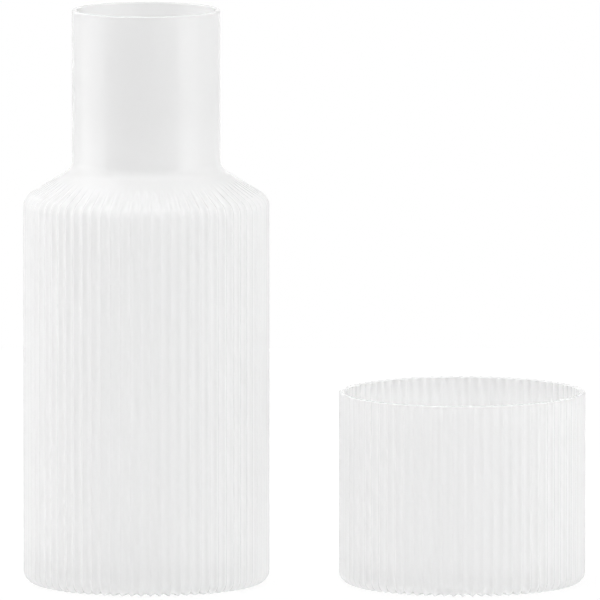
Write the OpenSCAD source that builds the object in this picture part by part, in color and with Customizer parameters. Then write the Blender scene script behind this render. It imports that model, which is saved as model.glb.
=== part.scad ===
// Bedside carafe and its matching tumbler, both in ribbed frosted glass.
// The carafe stands on its base at the origin, and the tumbler stands beside it along +X.
// Upright flutes with narrow crests between them cover both walls.
// The carafe's shoulder and neck are smooth.

/* [Carafe] */
// Outside diameter of the carafe over the crests of its ribs
carafe_d = 78; // [72:0.5:90]
// Height from the table to the top of the lip
carafe_h = 182.3; // [165:0.1:240]
// Rounding where the wall turns under into the base
carafe_foot_r = 4; // [2.5:0.1:6]
// Thickness of the glass in the wall, from the cavity to the bottom of the flutes
carafe_wall = 2; // [1.5:0.1:3.5]
// Thickness of the glass in the base
carafe_floor = 5; // [3:0.1:9]
// Rounding inside, where the cavity's floor meets its wall
carafe_floor_r = 6; // [3:0.1:12]

/* [Shoulder] */
// Height at which the wall and the slope of the shoulder would meet
shoulder_h = 122.4; // [90:0.1:130]
// Angle of the shoulder above the horizontal
shoulder_slope = 31.7; // [26:0.1:38]
// Rounding of the shoulder's edge
shoulder_r = 4.9; // [3:0.1:7]
// Rounding inside the shoulder's edge
shoulder_inner_r = 3; // [1:0.1:6]

/* [Neck] */
// Outside diameter of the neck
neck_d = 47; // [36:0.5:50]
// Thickness of the glass in the neck and the shoulder
neck_wall = 1.6; // [1.2:0.1:3]
// Hollow rounding where the neck rises from the shoulder
neck_root_r = 4.7; // [3:0.1:8]
// Rounding of both edges of the flat lip
lip_r = 0.4; // [0.2:0.05:0.5]

/* [Tumbler] */
// Outside diameter of the tumbler over the crests of its ribs
tumbler_d = 78; // [72:0.5:90]
// Height of the tumbler
tumbler_h = 60.7; // [45:0.1:90]
// Rounding where the tumbler's wall turns under into its base
tumbler_foot_r = 3.5; // [2.5:0.1:6]
// Thickness of the glass in the wall, from the cavity to the bottom of the flutes
tumbler_wall = 1.5; // [1.2:0.1:3.5]
// Thickness of the glass in the tumbler's base
tumbler_floor = 4; // [3:0.1:9]
// Rounding inside, where the cavity's floor meets its wall
tumbler_floor_r = 5; // [3:0.1:12]
// Rounding of both edges of the flat rim
rim_r = 0.4; // [0.2:0.05:0.7]

/* [Ribs] */
// Number of ribs round each piece
rib_count = 76; // [60:1:80]
// Depth of the flutes below the crests
flute_depth = 0.7; // [0.4:0.05:0.8]
// Radius of the flutes' hollow section
flute_r = 1.7; // [1.4:0.05:1.8]

/* [Placement] */
// Distance between the axes of the carafe and the tumbler
tumbler_offset = 100; // [95:0.5:140]

/* [Hidden] */
$fn = 96;

// Overrun of every cut past the surface that it opens
overrun = 1;
// Place of each piece's first flute past +X, as a share of the pitch of its ribs
carafe_first_share = 0;
tumbler_first_share = 0.5;

carafe_r = carafe_d / 2;
neck_r = neck_d / 2;
tumbler_r = tumbler_d / 2;
// Thickness of each wall over the crests of its ribs
carafe_crest_wall = carafe_wall + flute_depth;
tumbler_crest_wall = tumbler_wall + flute_depth;

// Angle through which the outline turns at the shoulder's edge, and back again at the neck's root
turn = 90 - shoulder_slope;
// Length of each tangent beside a corner of the given rounding on that turn
function tangent(r) = r * tan(turn / 2);
// Point at a distance from a centre, in a direction given as an angle above the horizontal
function polar(centre, r, angle) = centre + r * [cos(angle), sin(angle)];

// Centres of the roundings of the shoulder's edge and of the neck's root, as radius and height
shoulder_arc = [carafe_r - shoulder_r, shoulder_h - tangent(shoulder_r)];
neck_root_arc = [neck_r + neck_root_r,
                 shoulder_h + (carafe_r - neck_r) * tan(shoulder_slope) + tangent(neck_root_r)];

// Radius of the carafe's cavity, and the centre of the rounding inside its shoulder
cavity_r = carafe_r - carafe_crest_wall;
cavity_arc = [cavity_r - shoulder_inner_r,
              shoulder_h + carafe_crest_wall * tan(shoulder_slope)
                  - neck_wall / cos(shoulder_slope) - tangent(shoulder_inner_r)];

// Region under a shoulder and a neck, for the glass or, set in from it, for the cavity
module bottle(r, foot, foot_r, edge_arc, edge_r, root_r, top) {
    neck = neck_root_arc.x - root_r;
    difference() {
        union() {
            polygon([[0, foot], [r - foot_r, foot], [r, foot + foot_r], [r, edge_arc.y],
                     polar(edge_arc, edge_r, turn), polar(neck_root_arc, root_r, 180 + turn),
                     [neck, neck_root_arc.y], [neck, top], [0, top]]);
            translate([r - foot_r, foot + foot_r]) circle(r = foot_r);
            translate(edge_arc) circle(r = edge_r);
        }
        translate(neck_root_arc) circle(r = root_r);
    }
}

// Region of a plain round pot with a rounded foot
module pot(r, foot, foot_r, top) {
    polygon([[0, foot], [r - foot_r, foot], [r, foot + foot_r], [r, top], [0, top]]);
    translate([r - foot_r, foot + foot_r]) circle(r = foot_r);
}

// Top of a wall, flat between two rounded edges
module flat_top(r, wall, h, edge_r) {
    for (x = [r - wall + edge_r, r - edge_r]) translate([x, h - edge_r]) circle(r = edge_r);
    translate([r - wall + edge_r, h - 2 * edge_r]) square([wall - 2 * edge_r, 2 * edge_r]);
}

// Half section of the carafe's glass, before its flutes
module carafe_section() {
    difference() {
        bottle(carafe_r, 0, carafe_foot_r, shoulder_arc, shoulder_r, neck_root_r, carafe_h - lip_r);
        bottle(cavity_r, carafe_floor, carafe_floor_r, cavity_arc, shoulder_inner_r,
               neck_root_r + neck_wall, carafe_h + overrun);
    }
    flat_top(neck_r, neck_wall, carafe_h, lip_r);
}

// Half section of the tumbler's glass, before its flutes
module tumbler_section() {
    difference() {
        pot(tumbler_r, 0, tumbler_foot_r, tumbler_h - rim_r);
        pot(tumbler_r - tumbler_crest_wall, tumbler_floor, tumbler_floor_r, tumbler_h + overrun);
    }
    flat_top(tumbler_r, tumbler_crest_wall, tumbler_h, rim_r);
}

// Upright body that holds a piece of the given size and leaves out its flutes
module flutes_left_out(r, h, first_share) {
    translate([0, 0, -overrun]) linear_extrude(height = h + 2 * overrun) difference() {
        circle(r = r + overrun);
        for (i = [0 : rib_count - 1]) {
            translate(polar([0, 0], r - flute_depth + flute_r, (i + first_share) * 360 / rib_count))
                circle(r = flute_r);
        }
    }
}

module carafe() {
    color("whitesmoke") intersection() {
        rotate_extrude() carafe_section();
        flutes_left_out(carafe_r, carafe_h, carafe_first_share);
    }
}

module tumbler() {
    color("whitesmoke") translate([tumbler_offset, 0, 0]) intersection() {
        rotate_extrude() tumbler_section();
        flutes_left_out(tumbler_r, tumbler_h, tumbler_first_share);
    }
}

carafe();
tumbler();
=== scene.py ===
"""Bedside carafe and its matching tumbler, both in ribbed frosted glass.

Each piece is one wall of glass: its half section is drawn out point by point, spun round its axis
into a closed shape, and the flutes between its ribs are then pressed in along the surface.
Lengths are in metres, in the frame of the packed model.
"""

import math

import bpy
import mathutils
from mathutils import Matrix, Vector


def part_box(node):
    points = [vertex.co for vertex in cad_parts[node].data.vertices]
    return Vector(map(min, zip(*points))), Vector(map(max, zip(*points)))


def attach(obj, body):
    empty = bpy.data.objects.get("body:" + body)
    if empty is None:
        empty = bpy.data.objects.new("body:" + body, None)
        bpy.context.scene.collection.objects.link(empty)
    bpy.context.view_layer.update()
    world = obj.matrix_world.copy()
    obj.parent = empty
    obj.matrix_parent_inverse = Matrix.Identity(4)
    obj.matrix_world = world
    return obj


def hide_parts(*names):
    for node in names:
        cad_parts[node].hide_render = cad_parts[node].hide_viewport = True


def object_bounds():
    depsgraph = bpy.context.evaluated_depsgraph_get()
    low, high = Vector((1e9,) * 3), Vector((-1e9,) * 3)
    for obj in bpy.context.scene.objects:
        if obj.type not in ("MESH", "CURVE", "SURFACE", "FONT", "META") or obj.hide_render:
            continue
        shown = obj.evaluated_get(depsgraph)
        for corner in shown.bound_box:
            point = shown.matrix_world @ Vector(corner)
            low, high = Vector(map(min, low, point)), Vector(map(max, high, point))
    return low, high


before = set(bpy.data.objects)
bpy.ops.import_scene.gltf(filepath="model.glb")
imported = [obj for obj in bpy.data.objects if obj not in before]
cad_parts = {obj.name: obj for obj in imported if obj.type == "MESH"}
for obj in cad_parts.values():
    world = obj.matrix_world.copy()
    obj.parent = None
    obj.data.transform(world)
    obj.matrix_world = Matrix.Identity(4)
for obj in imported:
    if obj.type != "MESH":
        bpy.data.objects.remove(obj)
CAD_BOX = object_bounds()
CARAFE_LOW, CARAFE_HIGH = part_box("carafe")
TUMBLER_LOW, TUMBLER_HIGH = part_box("tumbler")
MIDDLE = [(low + high) / 2 for low, high in zip(*CAD_BOX)]

bl_info = {
    "name": "Ribbed carafe and tumbler",
    "version": (1, 0, 0),
    "blender": (4, 5, 0),
    "location": "View3D > Sidebar > Glassware",
    "description": "Builds a ribbed carafe and its tumbler in frosted glass, in a plain studio",
    "category": "Add Mesh",
}

# A quarter, a half and a whole turn
QUARTER = math.pi / 2
HALF = math.pi
WHOLE = 2 * math.pi
# Distance under which points are one point
MERGE = 1e-6
# How far a surface faces towards or away from the axis before it counts as inside or outside
FACING = 0.02
# Place of each piece's first flute past +X, as a share of the pitch of its ribs
CARAFE_FIRST = 0.0
TUMBLER_FIRST = 0.5
# Place of the tumbler's axis along X, where the carafe's is at 0
TUMBLER_X = (TUMBLER_LOW.x + TUMBLER_HIGH.x) / 2
# Faces round each large rounding of a section, round the one inside the shoulder, and round an edge of
# the lip or rim
ROUND_FACES = 8
INNER_SHOULDER_FACES = 6
EDGE_FACES = 5
# Faces along each straight stretch of a section: the flutes need more than one to follow the surface
PLAIN_FACES = 1
FOOT_RUNOUT_FACES = 4
CARAFE_WALL_FACES = 12
SLOPE_FACES = 10
NECK_FACES = 4
INNER_SLOPE_FACES = 4
INNER_WALL_FACES = 8
TUMBLER_WALL_FACES = 8
# Height above the shoulder at which the neck's painted shade, a darker tint, is in full, in heights of the
# slope
NECK_SHADE_RISES = 3
# Width of the floor, and how far it lies under the glass so that no two faces share a place
FLOOR_WIDTH = 1.2
FLOOR_GAP = 0.00005
# Width of the camera's sensor in millimetres, and of the image in pixels
SENSOR = 36.0
IMAGE_WIDTH = 600


def length(name, description, default):
    """A length that a user may change."""
    return bpy.props.FloatProperty(
        name=name, description=description, default=default, min=0.0, precision=5,
        subtype="DISTANCE", unit="LENGTH",
    )


def angle(name, description, degrees):
    """An angle that a user may change, given in degrees."""
    return bpy.props.FloatProperty(
        name=name, description=description, default=math.radians(degrees),
        subtype="ANGLE", unit="ROTATION",
    )


def share(name, description, default):
    """A share between nothing and all."""
    return bpy.props.FloatProperty(
        name=name, description=description, default=default, min=0.0, max=1.0, subtype="FACTOR",
    )


def amount(name, description, default):
    """A plain number without a unit."""
    return bpy.props.FloatProperty(name=name, description=description, default=default, min=0.0)


def colour(name, description, default):
    """A colour without alpha."""
    return bpy.props.FloatVectorProperty(
        name=name, description=description, default=default, size=3, min=0.0, max=1.0,
        subtype="COLOR",
    )


class CarafeSizes(bpy.types.PropertyGroup):
    """Sizes of the carafe's glass"""

    radius: length("Radius", "Radius over the crests of the ribs",
                   (CARAFE_HIGH.x - CARAFE_LOW.x) / 2)
    height: length("Height", "Height to the top of the lip", CARAFE_HIGH.z)
    foot_rounding: length("Foot rounding", "Rounding where the wall turns under", 0.004)
    wall: length("Wall", "Thickness of the wall over the crests", 0.0027)
    floor: length("Floor", "Thickness of the base", 0.005)
    floor_rounding: length("Floor rounding", "Rounding between floor and wall inside", 0.006)
    shoulder_height: length("Shoulder height", "Height where wall and slope would meet", 0.1224)
    shoulder_slope: angle("Shoulder slope", "Angle of the shoulder above the horizontal", 31.7)
    shoulder_rounding: length("Shoulder rounding", "Rounding of the shoulder's edge", 0.0049)
    shoulder_inside: length("Shoulder inside", "Rounding inside the shoulder's edge", 0.003)
    neck_radius: length("Neck radius", "Outside radius of the neck", 0.0235)
    neck_wall: length("Neck wall", "Thickness of the neck and shoulder", 0.0016)
    lip_rounding: length("Lip rounding", "Rounding of both edges of the flat lip", 0.0004)
    neck_root: length("Neck root", "Hollow rounding at the foot of the neck", 0.0047)
    runout: length("Runout", "Length over which the flutes run out up the shoulder", 0.009)


class TumblerSizes(bpy.types.PropertyGroup):
    """Sizes of the tumbler's glass"""

    radius: length("Radius", "Radius over the crests of the ribs",
                   (TUMBLER_HIGH.x - TUMBLER_LOW.x) / 2)
    height: length("Height", "Height to the rim", TUMBLER_HIGH.z)
    foot_rounding: length("Foot rounding", "Rounding where the wall turns under", 0.0035)
    wall: length("Wall", "Thickness of the wall over the crests", 0.0022)
    rim_rounding: length("Rim rounding", "Rounding of both edges of the flat rim", 0.0004)
    floor: length("Floor", "Thickness of the base", 0.004)
    floor_rounding: length("Floor rounding", "Rounding between floor and wall inside", 0.005)


class RibSizes(bpy.types.PropertyGroup):
    """Ribs that run round both pieces"""

    count: bpy.props.IntProperty(name="Count", description="Ribs round each piece", default=76, min=12)
    columns: bpy.props.IntProperty(
        name="Columns", description="Columns of faces across one rib", default=10, min=4)
    depth: length("Depth", "Depth of the flutes below the crests", 0.0007)
    hollow: length("Hollow", "Radius of the flutes' section", 0.0017)
    inside: share("Inside", "Share of the flutes' depth that shows on the inside", 0.8)
    foot_runout: length("Foot runout", "Length over which the flutes run out under the base", 0.005)


class GlassFinish(bpy.types.PropertyGroup):
    """Look of the frosted glass"""

    tint: colour("Tint", "Colour of the carafe's glass", (0.98, 0.98, 0.98))
    # The neck's tint is painted shade: its glass is coloured darker than the body's to darken the neck
    neck_painted_shade: colour("Neck tint", "Colour of the smooth neck, which scatters less", (0.93, 0.93, 0.93))
    tumbler_tint: colour("Tumbler tint", "Colour of the tumbler's glass", (0.965, 0.965, 0.965))
    clear: share("Clear", "Share of the light that goes through rather than scatters", 0.5)
    roughness: share("Roughness", "Roughness of the etched surface", 0.5)
    unevenness: share("Unevenness", "Share by which the etching varies from place to place", 0.03)
    cloud: amount("Cloud", "Cloudy patches of the etching to a metre", 45.0)
    grain: amount("Grain", "Grains of the etching to a metre", 2500.0)
    grain_depth: length("Grain depth", "Depth of the etched grain", 0.000002)
    bending: amount("Bending", "Refractive index under the satin gloss", 1.3)
    satin: share("Satin", "Strength of the satin gloss", 0.8)
    satin_roughness: share("Satin roughness", "Roughness of the satin gloss", 0.15)


class StudioSettings(bpy.types.PropertyGroup):
    """Camera and light, where a light of 1 shows white"""

    distance: length("Distance", "Distance from the camera to the point it looks at", 6.0)
    elevation: angle("Elevation", "Height of the camera above the horizon", 6.92)
    aim_right: length("Aim right", "Point looked at, to the right of the carafe's axis", 0.04862)
    aim_height: length("Aim height", "Height of the point looked at", 0.08987)
    scale: amount("Scale", "Pixels to a metre at the point looked at, on an image 600 wide", 3160)
    ambient: amount("Ambient", "Light from all round", 0.65)
    left_light: amount("Left light", "Light of the softbox on the left", 0.95)
    right_light: amount("Right light", "Light of the softbox on the right", 1.1)
    top_light: amount("Top light", "Light of the softbox overhead", 1.05)
    back_light: amount("Back light", "Light of the softbox high up behind, on the left", 0.7)
    floor_paint: share("Floor paint", "Share of the light on the floor that it scatters", 0.2)
    floor_light: amount("Floor light", "Glow of the floor as light on the glass", 0.71)
    floor_white: amount("Floor white", "Glow of the floor where it is seen, also in the glass", 0.81)


def deselect():
    """Leaves nothing selected, because an operator acts on all that is."""
    bpy.ops.object.select_all(action="DESELECT")


def arc(centre, radius, start, end, steps):
    """Points of an arc in the plane of radius and height, with angles above the horizontal."""
    turns = [start + (end - start) * i / steps for i in range(steps + 1)]
    return [(centre[0] + radius * math.cos(a), centre[1] + radius * math.sin(a)) for a in turns]


def between(start, end, steps):
    """Points strictly between two points of the section."""
    shares = [i / steps for i in range(1, steps)]
    return [tuple(a + (b - a) * s for a, b in zip(start, end)) for s in shares]


def joined(start, *stretches):
    """One run of points from a start through stretches, each with the straight faces that lead to it."""
    points = [start]
    for faces, stretch in stretches:
        points += between(points[-1], stretch[0], faces) + stretch
    return points


def flat_top(radius, height, wall, rounding):
    """The two rounded edges of a flat lip or rim, outside and inside."""
    outside = arc((radius - rounding, height - rounding), rounding, 0.0, QUARTER, EDGE_FACES)
    inside = arc((radius - wall + rounding, height - rounding), rounding, QUARTER, HALF, EDGE_FACES)
    return outside, inside


def carafe_section(sizes, ribs):
    """Half section of the carafe's glass, from the axis under the base to the axis on the floor."""
    turn = QUARTER - sizes.shoulder_slope
    tangent = math.tan(turn / 2)
    rise = math.tan(sizes.shoulder_slope)
    inner = sizes.radius - sizes.wall
    foot = (sizes.radius - sizes.foot_rounding, sizes.foot_rounding)
    edge = (sizes.radius - sizes.shoulder_rounding,
            sizes.shoulder_height - sizes.shoulder_rounding * tangent)
    root = (sizes.neck_radius + sizes.neck_root,
            sizes.shoulder_height + (sizes.radius - sizes.neck_radius) * rise
            + sizes.neck_root * tangent)
    inner_edge = (inner - sizes.shoulder_inside,
                  sizes.shoulder_height + sizes.wall * rise
                  - sizes.neck_wall / math.cos(sizes.shoulder_slope)
                  - sizes.shoulder_inside * tangent)
    inner_foot = (inner - sizes.floor_rounding, sizes.floor + sizes.floor_rounding)
    lip_outside, lip_inside = flat_top(sizes.neck_radius, sizes.height, sizes.neck_wall,
                                       sizes.lip_rounding)
    inner_root = sizes.neck_root + sizes.neck_wall
    return joined(
        (0.0, 0.0),
        (PLAIN_FACES, [(foot[0] - ribs.foot_runout, 0.0)]),
        (FOOT_RUNOUT_FACES, arc(foot, sizes.foot_rounding, -QUARTER, 0.0, ROUND_FACES)),
        (CARAFE_WALL_FACES, arc(edge, sizes.shoulder_rounding, 0.0, turn, ROUND_FACES)),
        (SLOPE_FACES, arc(root, sizes.neck_root, HALF + turn, HALF, ROUND_FACES)),
        (NECK_FACES, lip_outside),
        (PLAIN_FACES, lip_inside),
        (NECK_FACES, arc(root, inner_root, HALF, HALF + turn, ROUND_FACES)),
        (INNER_SLOPE_FACES, arc(inner_edge, sizes.shoulder_inside, turn, 0.0, INNER_SHOULDER_FACES)),
        (INNER_WALL_FACES, arc(inner_foot, sizes.floor_rounding, 0.0, -QUARTER, ROUND_FACES)),
        (PLAIN_FACES, [(0.0, sizes.floor)]),
    )


def tumbler_section(sizes, ribs):
    """Half section of the tumbler's glass, from the axis under the base to the axis on the floor."""
    foot = (sizes.radius - sizes.foot_rounding, sizes.foot_rounding)
    inner_foot = (sizes.radius - sizes.wall - sizes.floor_rounding,
                  sizes.floor + sizes.floor_rounding)
    rim_outside, rim_inside = flat_top(sizes.radius, sizes.height, sizes.wall, sizes.rim_rounding)
    return joined(
        (0.0, 0.0),
        (PLAIN_FACES, [(foot[0] - ribs.foot_runout, 0.0)]),
        (FOOT_RUNOUT_FACES, arc(foot, sizes.foot_rounding, -QUARTER, 0.0, ROUND_FACES)),
        (TUMBLER_WALL_FACES, rim_outside),
        (PLAIN_FACES, rim_inside),
        (INNER_WALL_FACES, arc(inner_foot, sizes.floor_rounding, 0.0, -QUARTER, ROUND_FACES)),
        (PLAIN_FACES, [(0.0, sizes.floor)]),
    )


def one_rib(name, section, ribs):
    """Draws a half section out point by point and spins it over one rib, whose flute is at +X.

    The corners of a plane merge into the section's first point, at the origin, and each step
    extrudes the last point to the next one.
    """
    along, aside = math.cos(HALF / ribs.count), math.sin(HALF / ribs.count)
    deselect()
    bpy.ops.mesh.primitive_plane_add(size=1.0, location=(0.0, 0.0, 0.0))
    piece = bpy.context.object
    piece.name = name
    piece.data.name = name
    bpy.context.tool_settings.mesh_select_mode = (True, False, False)
    bpy.ops.object.mode_set(mode="EDIT")
    bpy.ops.mesh.merge(type="CENTER")
    for (r0, z0), (r1, z1) in zip(section, section[1:]):
        step = ((r1 - r0) * along, (r1 - r0) * aside, z1 - z0)
        bpy.ops.mesh.extrude_region_move(TRANSFORM_OT_translate={"value": step})
    bpy.ops.mesh.select_all(action="SELECT")
    bpy.ops.mesh.spin(steps=ribs.columns, angle=WHOLE / ribs.count,
                      center=(0.0, 0.0, 0.0), axis=(0.0, 0.0, 1.0))
    bpy.ops.mesh.select_all(action="SELECT")
    bpy.ops.mesh.remove_doubles(threshold=MERGE)
    bpy.ops.mesh.normals_make_consistent(inside=False)
    bpy.ops.object.mode_set(mode="OBJECT")
    return piece


def all_ribs(piece, ribs, axis_x, first):
    """Spins copies of one rib round the axis into a closed piece, and sets it in its place."""
    bpy.ops.object.mode_set(mode="EDIT")
    bpy.ops.mesh.select_all(action="SELECT")
    bpy.ops.mesh.spin(steps=ribs.count - 1, dupli=True,
                      angle=WHOLE * (ribs.count - 1) / ribs.count,
                      center=(0.0, 0.0, 0.0), axis=(0.0, 0.0, 1.0))
    bpy.ops.mesh.select_all(action="SELECT")
    bpy.ops.mesh.remove_doubles(threshold=MERGE)
    bpy.ops.mesh.normals_make_consistent(inside=False)
    bpy.ops.transform.rotate(value=first * WHOLE / ribs.count, orient_axis="Z",
                             center_override=(0.0, 0.0, 0.0))
    bpy.ops.transform.translate(value=(axis_x, 0.0, 0.0))
    bpy.ops.object.mode_set(mode="OBJECT")
    bpy.ops.object.shade_smooth()


def flute_section(place, ribs, radius, reach=1.0):
    """Depth of a flute, as a share of its full depth, at a place across one rib from -0.5 to 0.5.

    Where the flute reaches in less deep, it is narrower too, as a round cutter leaves it.
    """
    across = abs(place) * WHOLE * radius / ribs.count
    if across >= ribs.hollow:
        return 0.0
    depth = reach * ribs.depth - ribs.hollow + math.sqrt(ribs.hollow ** 2 - across ** 2)
    return max(depth, 0.0) / ribs.depth


def press(piece, direction, depth, weights):
    """Presses vertices in against a direction, by a depth times their weights."""
    group = piece.vertex_groups.new(name="pressed")
    for index, weight in weights.items():
        group.add([index], weight, "REPLACE")
    modifier = piece.modifiers.new("press", "DISPLACE")
    modifier.direction = direction
    modifier.mid_level = 0.0
    modifier.strength = -depth
    modifier.vertex_group = group.name
    bpy.ops.object.modifier_apply(modifier=modifier.name)
    piece.vertex_groups.clear()


def press_flute(piece, radius, ribs, reach, rim):
    """Presses one flute into one rib's width of glass: along its normals, and above rim straight in.

    reach gives how deep the flute is, as a share, from the distance to the axis, the height,
    and how far the surface there faces away from the axis.
    """
    along_normals, straight_in = {}, {}
    for vertex in piece.data.vertices:
        x, y, z = vertex.co
        out = math.hypot(x, y)
        if out < MERGE:
            continue
        facing = (vertex.normal.x * x + vertex.normal.y * y) / out
        place = math.atan2(y, x) / WHOLE * ribs.count
        if z > rim and facing > FACING:
            straight_in[vertex.index] = flute_section(place, ribs, radius)
        elif facing < -FACING:
            along_normals[vertex.index] = flute_section(place, ribs, radius) * reach(out, z, facing)
        else:
            along_normals[vertex.index] = flute_section(place, ribs, radius, reach(out, z, facing))
    press(piece, "NORMAL", ribs.depth, along_normals)
    press(piece, "X", ribs.depth, straight_in)


def ramp(value, low, high):
    """Rises from 0 at low to 1 at high, fast at first and then slowly, as a round cutter lifts off."""
    t = min(max((value - low) / (high - low), 0.0), 1.0)
    return 1.0 - (1.0 - t) ** 2


def carafe_reach(sizes, ribs):
    """How far the carafe's flutes reach: under the foot, up the wall and over the shoulder's edge."""
    foot = sizes.radius - sizes.foot_rounding
    slope = sizes.radius - sizes.shoulder_rounding * (1.0 - math.sin(sizes.shoulder_slope))
    fading = sizes.runout * math.cos(sizes.shoulder_slope)
    inner = sizes.radius - sizes.wall

    def reach(out, height, facing):
        """Share of the flutes' depth at one place."""
        if facing < -FACING:
            return ribs.inside * ramp(out, inner - sizes.floor_rounding, inner)
        if height > sizes.shoulder_height - sizes.shoulder_rounding:
            return min(max((out - slope + fading) / fading, 0.0), 1.0)
        if height < sizes.foot_rounding:
            return ramp(out, foot - ribs.foot_runout, foot)
        return 1.0 if facing > FACING else 0.0

    return reach


def tumbler_reach(sizes, ribs):
    """How far the tumbler's flutes reach: under the foot and up the wall to the rim."""
    foot = sizes.radius - sizes.foot_rounding
    inner = sizes.radius - sizes.wall

    def reach(out, height, facing):
        """Share of the flutes' depth at one place."""
        if facing < -FACING:
            return ribs.inside * ramp(out, inner - sizes.floor_rounding, inner) * -facing
        if height < sizes.foot_rounding:
            return ramp(out, foot - ribs.foot_runout, foot)
        return max(facing, 0.0)

    return reach


def node(tree, kind, name, **values):
    """Adds a node and sets its inputs by name."""
    made = tree.nodes.new(kind)
    made.name = name
    made.label = name
    for key, value in values.items():
        made.inputs[key.replace("_", " ")].default_value = value
    return made


def frosted_glass(name, finish, tint, axis_x):
    """Acid-etched glass: a fine grain under a satin gloss, with an etching that varies a little."""
    material = bpy.data.materials.new(name)
    material.use_nodes = True
    tree = material.node_tree
    link = tree.links.new
    shader = tree.nodes["Principled BSDF"]
    place = tree.nodes.new("ShaderNodeTexCoord")
    place.name = "Place"
    centred = node(tree, "ShaderNodeMapping", "Centred", Location=(-axis_x, 0.0, 0.0))
    link(place.outputs["Object"], centred.inputs["Vector"])

    grain = node(tree, "ShaderNodeTexNoise", "Etched grain",
                 Scale=finish.grain, Detail=2.0, Roughness=0.6)
    link(centred.outputs["Vector"], grain.inputs["Vector"])
    bump = node(tree, "ShaderNodeBump", "Grain depth", Strength=0.5, Distance=finish.grain_depth)
    link(grain.outputs["Fac"], bump.inputs["Height"])
    link(bump.outputs["Normal"], shader.inputs["Normal"])

    cloud = node(tree, "ShaderNodeTexNoise", "Cloud", Scale=finish.cloud, Detail=3.0, Roughness=0.5)
    link(centred.outputs["Vector"], cloud.inputs["Vector"])
    etching = node(tree, "ShaderNodeMapRange", "Etching",
                   To_Min=finish.roughness * (1.0 - finish.unevenness),
                   To_Max=finish.roughness * (1.0 + finish.unevenness))
    link(cloud.outputs["Fac"], etching.inputs["Value"])
    link(etching.outputs["Result"], shader.inputs["Roughness"])

    shader.inputs["Base Color"].default_value = (*tint, 1.0)
    shader.inputs["IOR"].default_value = finish.bending
    shader.inputs["Transmission Weight"].default_value = finish.clear
    shader.inputs["Coat Weight"].default_value = finish.satin
    shader.inputs["Coat Roughness"].default_value = finish.satin_roughness
    return material


def paint_neck_shade(material, finish, low, high):
    """Paints shade on the neck: a darker tint, which takes over from the shoulder's between two heights.
    """
    tree = material.node_tree
    link = tree.links.new
    parts = tree.nodes.new("ShaderNodeSeparateXYZ")
    link(tree.nodes["Place"].outputs["Object"], parts.inputs["Vector"])
    rise = node(tree, "ShaderNodeMapRange", "Rise to the neck", From_Min=low, From_Max=high)
    link(parts.outputs["Z"], rise.inputs["Value"])
    # Painted shade: the mix turns the body's tint into the darker neck tint going up the neck
    tint_and_neck_shade = tree.nodes.new("ShaderNodeMix")
    tint_and_neck_shade.name = tint_and_neck_shade.label = "Tint_and_neck_shade"
    tint_and_neck_shade.data_type = "RGBA"
    factor, body, neck = (item for item in tint_and_neck_shade.inputs if item.enabled)
    body.default_value = (*finish.tint, 1.0)
    neck.default_value = (*finish.neck_painted_shade, 1.0)
    link(rise.outputs["Result"], factor)
    (mixed,) = (item for item in tint_and_neck_shade.outputs if item.enabled)
    link(mixed, tree.nodes["Principled BSDF"].inputs["Base Color"])


class GLASSWARE_OT_carafe(bpy.types.Operator):
    """Build the carafe: ribbed body, sloping shoulder and smooth neck in one wall of glass"""

    bl_idname = "glassware.carafe"
    bl_label = "Carafe"

    def execute(self, context):
        sizes, ribs = context.scene.carafe_sizes, context.scene.rib_sizes
        piece = one_rib("carafe_glass", carafe_section(sizes, ribs), ribs)
        press_flute(piece, sizes.radius, ribs, carafe_reach(sizes, ribs), sizes.height)
        all_ribs(piece, ribs, 0.0, CARAFE_FIRST)
        finish = context.scene.glass_finish
        glass = frosted_glass("carafe frosted glass", finish, finish.tint, 0.0)
        # Painted shade on the neck: a darker base colour from just above the shoulder up
        rise = (sizes.radius - sizes.neck_radius) * math.tan(sizes.shoulder_slope)
        paint_neck_shade(glass, finish, sizes.shoulder_height + rise,
                  sizes.shoulder_height + NECK_SHADE_RISES * rise)
        piece.data.materials.append(glass)
        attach(piece, "carafe")
        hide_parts("carafe")
        return {"FINISHED"}


class GLASSWARE_OT_tumbler(bpy.types.Operator):
    """Build the tumbler: a ribbed wall of glass with a rounded foot and a flat rim"""

    bl_idname = "glassware.tumbler"
    bl_label = "Tumbler"

    def execute(self, context):
        sizes, ribs = context.scene.tumbler_sizes, context.scene.rib_sizes
        piece = one_rib("tumbler_glass", tumbler_section(sizes, ribs), ribs)
        rim = sizes.height - sizes.rim_rounding - MERGE
        press_flute(piece, sizes.radius, ribs, tumbler_reach(sizes, ribs), rim)
        all_ribs(piece, ribs, TUMBLER_X, TUMBLER_FIRST)
        finish = context.scene.glass_finish
        glass = frosted_glass("tumbler frosted glass", finish, finish.tumbler_tint, TUMBLER_X)
        piece.data.materials.append(glass)
        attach(piece, "tumbler")
        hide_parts("tumbler")
        return {"FINISHED"}


def seen_or_lighting(tree, lighting, seen):
    """Strength of a white surround, where it is seen, also in the glass, and where it only gives light."""
    link = tree.links.new
    path = tree.nodes.new("ShaderNodeLightPath")
    in_glass = tree.nodes.new("ShaderNodeMath")
    in_glass.operation = "MAXIMUM"
    link(path.outputs["Is Glossy Ray"], in_glass.inputs[0])
    link(path.outputs["Is Transmission Ray"], in_glass.inputs[1])
    in_view = tree.nodes.new("ShaderNodeMath")
    in_view.operation = "MAXIMUM"
    link(path.outputs["Is Camera Ray"], in_view.inputs[0])
    link(in_glass.outputs[0], in_view.inputs[1])
    strength = node(tree, "ShaderNodeMapRange", "Seen or lighting", To_Min=lighting, To_Max=seen)
    link(in_view.outputs[0], strength.inputs["Value"])
    return strength.outputs["Result"]


def white_world(ambient):
    """White behind the glass, through it and in its gloss, and an even light from all round."""
    world = bpy.data.worlds.new("studio")
    bpy.context.scene.world = world
    world.use_nodes = True
    tree = world.node_tree
    background = tree.nodes["Background"]
    background.inputs["Color"].default_value = (1.0, 1.0, 1.0, 1.0)
    tree.links.new(seen_or_lighting(tree, ambient, 1.0), background.inputs["Strength"])


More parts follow.
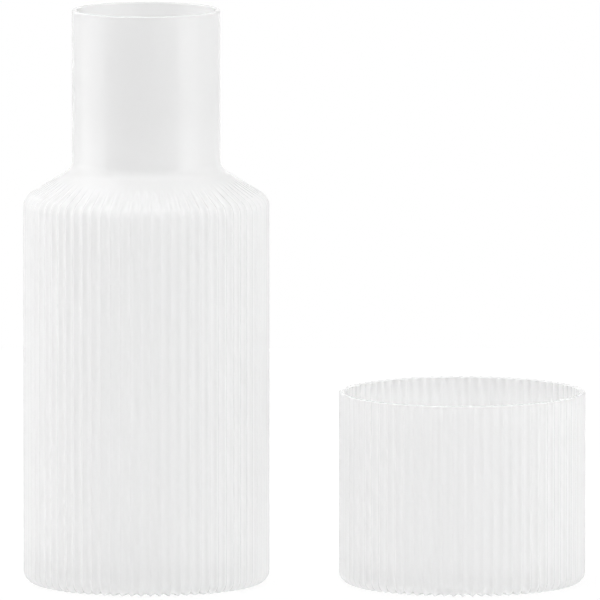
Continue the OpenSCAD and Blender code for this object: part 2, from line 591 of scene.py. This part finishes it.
def softbox(name, light, azimuth, height, distance, width, tall, shadows=True):
    """A large soft lamp that looks at the middle of the set, from an angle right of the camera.

    Its power is that of an even panel of the given brightness. Without shadows, its light goes on
    through the glass to the walls behind.
    """
    turn = math.radians(azimuth)
    place = (MIDDLE[0] + distance * math.sin(turn), MIDDLE[1] - distance * math.cos(turn), height)
    bpy.ops.object.light_add(type="AREA", location=place)
    lamp = bpy.context.object
    lamp.name = name
    lamp.data.shape = "RECTANGLE"
    lamp.data.size = width
    lamp.data.size_y = tall
    lamp.data.energy = light * math.pi * width * tall
    lamp.data.use_shadow = shadows
    toward = mathutils.Vector(MIDDLE) - mathutils.Vector(place)
    lamp.rotation_euler = toward.to_track_quat("-Z", "Y").to_euler()


def studio_floor(studio):
    """A plain pale floor that shows white, less the glass's soft shadow."""
    bpy.ops.mesh.primitive_plane_add(size=FLOOR_WIDTH, location=(TUMBLER_X / 2, 0.0, -FLOOR_GAP))
    floor = bpy.context.object
    floor.name = "floor"
    material = bpy.data.materials.new("white floor")
    material.use_nodes = True
    tree = material.node_tree
    link = tree.links.new
    out = tree.nodes["Material Output"]
    tree.nodes.remove(tree.nodes["Principled BSDF"])
    paint = node(tree, "ShaderNodeBsdfDiffuse", "Paint", Color=(*[studio.floor_paint] * 3, 1.0))
    glow = node(tree, "ShaderNodeEmission", "White", Color=(1.0, 1.0, 1.0, 1.0))
    link(seen_or_lighting(tree, studio.floor_light, studio.floor_white), glow.inputs["Strength"])
    both = tree.nodes.new("ShaderNodeAddShader")
    link(paint.outputs[0], both.inputs[0])
    link(glow.outputs[0], both.inputs[1])
    link(both.outputs[0], out.inputs["Surface"])
    floor.data.materials.append(material)


class GLASSWARE_OT_studio(bpy.types.Operator):
    """Set up the plain pale floor, the soft light and the camera"""

    bl_idname = "glassware.studio"
    bl_label = "Studio"

    def execute(self, context):
        studio = context.scene.studio_settings
        white_world(studio.ambient)
        deselect()
        studio_floor(studio)
        softbox("left softbox", studio.left_light, azimuth=-92.0, height=0.5, distance=1.5,
                width=1.6, tall=1.2, shadows=False)
        softbox("right softbox", studio.right_light, azimuth=67.0, height=0.5, distance=1.5,
                width=1.0, tall=1.2, shadows=False)
        softbox("back softbox", studio.back_light, azimuth=-130.0, height=1.35, distance=0.8,
                width=1.3, tall=0.8)
        softbox("top softbox", studio.top_light, azimuth=0.0, height=1.5, distance=0.1,
                width=1.6, tall=1.6)
        context.scene.view_settings.view_transform = "Standard"
        back = studio.distance * math.cos(studio.elevation)
        up = studio.distance * math.sin(studio.elevation)
        bpy.ops.object.camera_add(location=(studio.aim_right, -back, studio.aim_height + up),
                                  rotation=(QUARTER - studio.elevation, 0.0, 0.0))
        camera = context.object
        camera.name = "camera"
        camera.data.sensor_width = SENSOR
        camera.data.lens = studio.scale * studio.distance * SENSOR / IMAGE_WIDTH
        camera.data.clip_end = 2 * studio.distance
        context.scene.camera = camera
        return {"FINISHED"}


class GLASSWARE_PT_panel(bpy.types.Panel):
    """Lists the steps that build the set, and the sizes and colours that they use"""

    bl_label = "Carafe and tumbler"
    bl_idname = "GLASSWARE_PT_panel"
    bl_space_type = "VIEW_3D"
    bl_region_type = "UI"
    bl_category = "Glassware"

    def draw(self, context):
        for operator in (GLASSWARE_OT_carafe, GLASSWARE_OT_tumbler, GLASSWARE_OT_studio):
            self.layout.operator(operator.bl_idname)
        for name, kind in SETTINGS.items():
            box = self.layout.box()
            box.label(text=kind.__doc__)
            for key in kind.__annotations__:
                box.prop(getattr(context.scene, name), key)


CLASSES = (CarafeSizes, TumblerSizes, RibSizes, GlassFinish, StudioSettings, GLASSWARE_OT_carafe,
           GLASSWARE_OT_tumbler, GLASSWARE_OT_studio, GLASSWARE_PT_panel)
SETTINGS = {"carafe_sizes": CarafeSizes, "tumbler_sizes": TumblerSizes, "rib_sizes": RibSizes,
            "glass_finish": GlassFinish, "studio_settings": StudioSettings}


def register():
    """Makes the operators, the panel and the scene's settings known."""
    for kind in CLASSES:
        bpy.utils.register_class(kind)
    for name, kind in SETTINGS.items():
        setattr(bpy.types.Scene, name, bpy.props.PointerProperty(type=kind))


def unregister():
    """Takes them away again."""
    for name in SETTINGS:
        delattr(bpy.types.Scene, name)
    for kind in reversed(CLASSES):
        bpy.utils.unregister_class(kind)


def main():
    """Builds both pieces and the studio."""
    register()
    bpy.ops.glassware.carafe()
    bpy.ops.glassware.tumbler()
    bpy.ops.glassware.studio()


if __name__ == "__main__":
    main()
